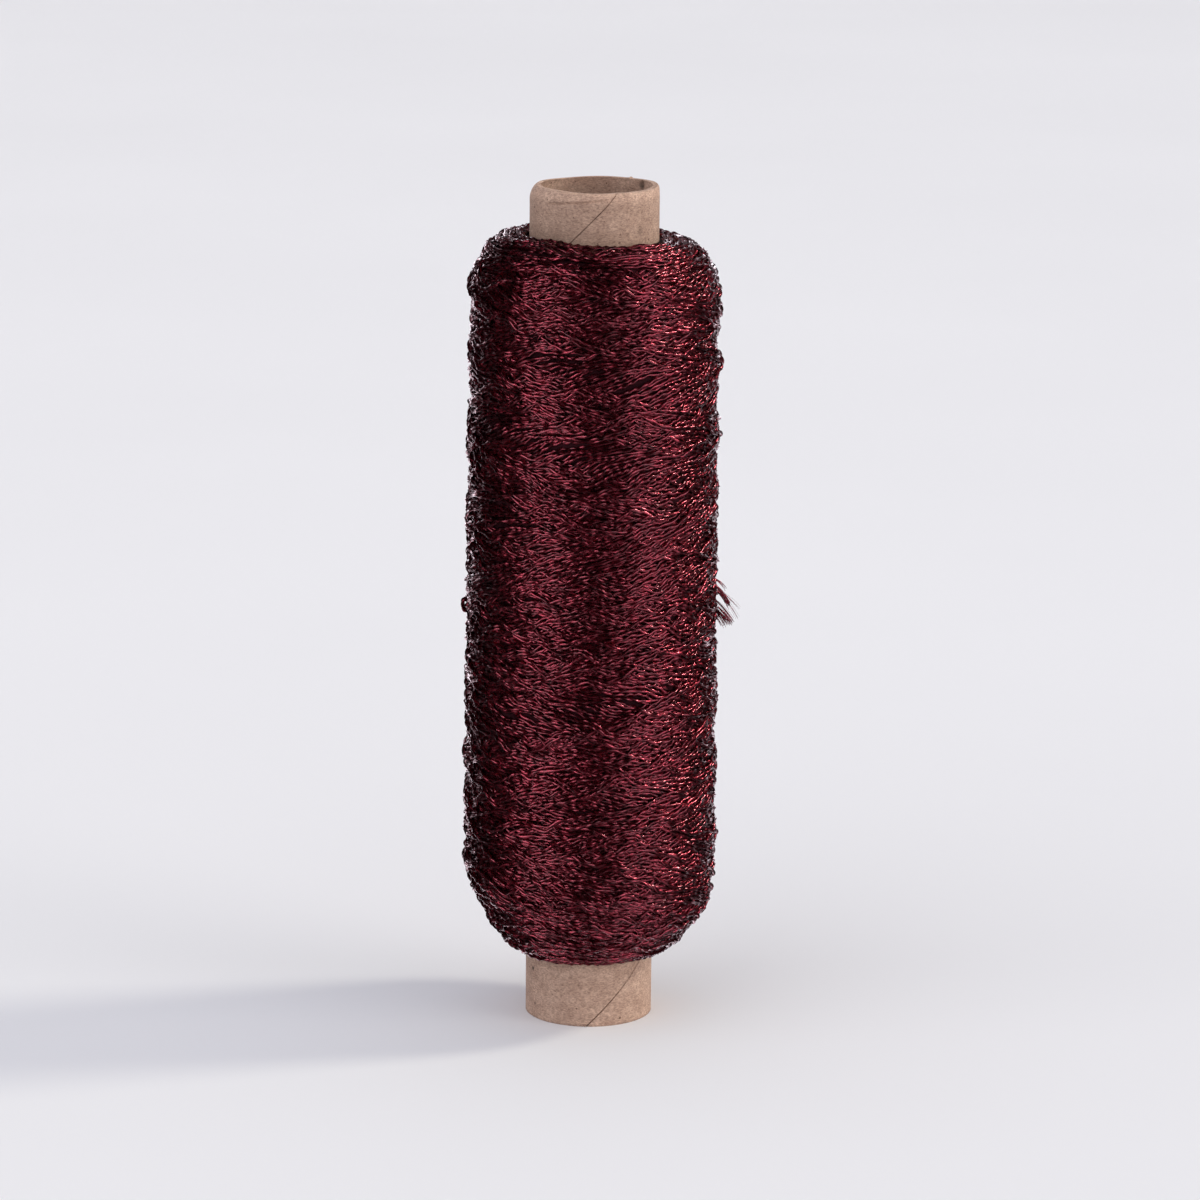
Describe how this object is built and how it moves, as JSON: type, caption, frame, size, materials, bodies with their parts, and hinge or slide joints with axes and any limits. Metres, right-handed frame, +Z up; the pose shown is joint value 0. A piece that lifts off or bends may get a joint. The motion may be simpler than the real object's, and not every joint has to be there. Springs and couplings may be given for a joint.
{
  "type": "yarn spool on a paper tube",
  "caption": "Glossy burgundy twisted yarn cross-wound as a round-shouldered package on a spiral-wound kraft paper tube that stands proud at both ends.",
  "frame": {"origin": "on the tube's axis, in the plane of its bottom rim", "axes": "+Z up along the tube's axis, the bottom rim at z = 0; -Y is the front that the tube's seam starts from; +X to the right, the side with the frayed yarn end"},
  "size_m": [0.0611, 0.0588, 0.198],
  "materials": {
    "kraft_paper": "matt kraft board with fine fibre speckle",
    "yarn": "glossy filament yarn, deep burgundy"
  },
  "bodies": {
    "root": {"tube_ply_1_inner": "kraft_paper", "tube_ply_2": "kraft_paper", "tube_ply_3": "kraft_paper", "tube_ply_4_outer": "kraft_paper", "yarn_package": "yarn", "yarn_tail": "yarn"}
  },
  "joints": []
}
